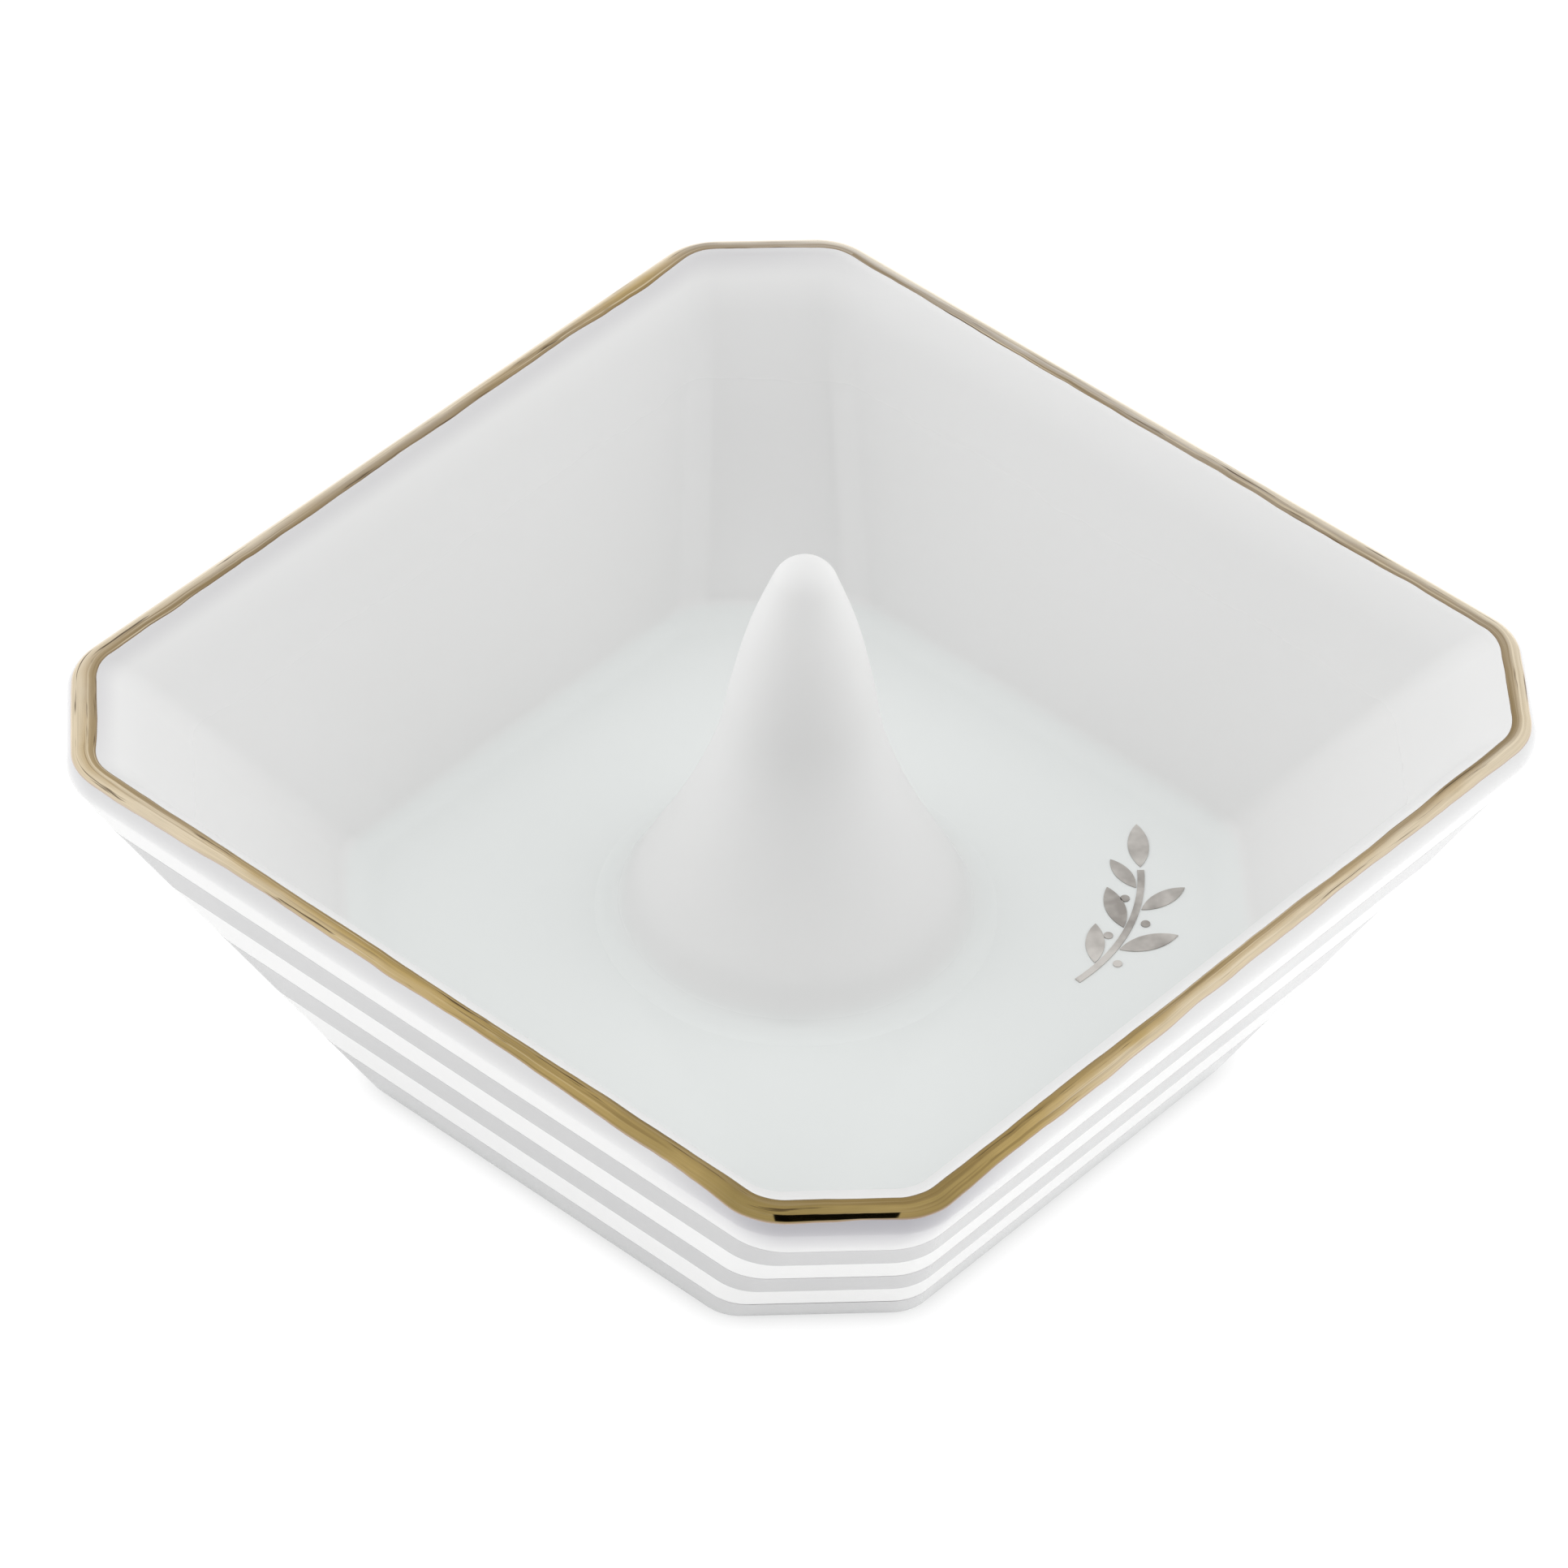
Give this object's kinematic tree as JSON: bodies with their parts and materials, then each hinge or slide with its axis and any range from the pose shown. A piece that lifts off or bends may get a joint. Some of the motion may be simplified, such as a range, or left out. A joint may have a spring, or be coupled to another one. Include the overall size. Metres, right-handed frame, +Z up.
{
  "type": "ring dish",
  "caption": "Square porcelain ring dish with cut corners, grey striped leaning walls, a gilt lip and a tall hollow cone on its floor for finger rings.",
  "frame": {"origin": "centre of the foot ring, on the surface that the dish stands on", "axes": "+Z up through the cone's tip; +X and +Y out through the middles of two neighbouring sides; the sprig lies on the floor towards +X and -Y"},
  "size_m": [0.1006, 0.1006, 0.0536],
  "materials": {
    "porcelain": "clear glaze over white porcelain, bare on the foot ring",
    "cone_porcelain": "clear glaze over white porcelain",
    "gilt": "hand-painted bright gold lustre",
    "grey_print": "fired grey print, glossy as the glaze round it",
    "silver_lustre": "fired silver-grey lustre print"
  },
  "bodies": {
    "root": {"dish_shell": "porcelain", "ring_cone": "cone_porcelain", "gilt_rim_band": "gilt", "stripe_low": "grey_print", "stripe_middle": "grey_print", "stripe_high": "grey_print", "sprig_stem": "silver_lustre", "sprig_leaves": "silver_lustre", "sprig_berries": "silver_lustre"}
  },
  "joints": []
}
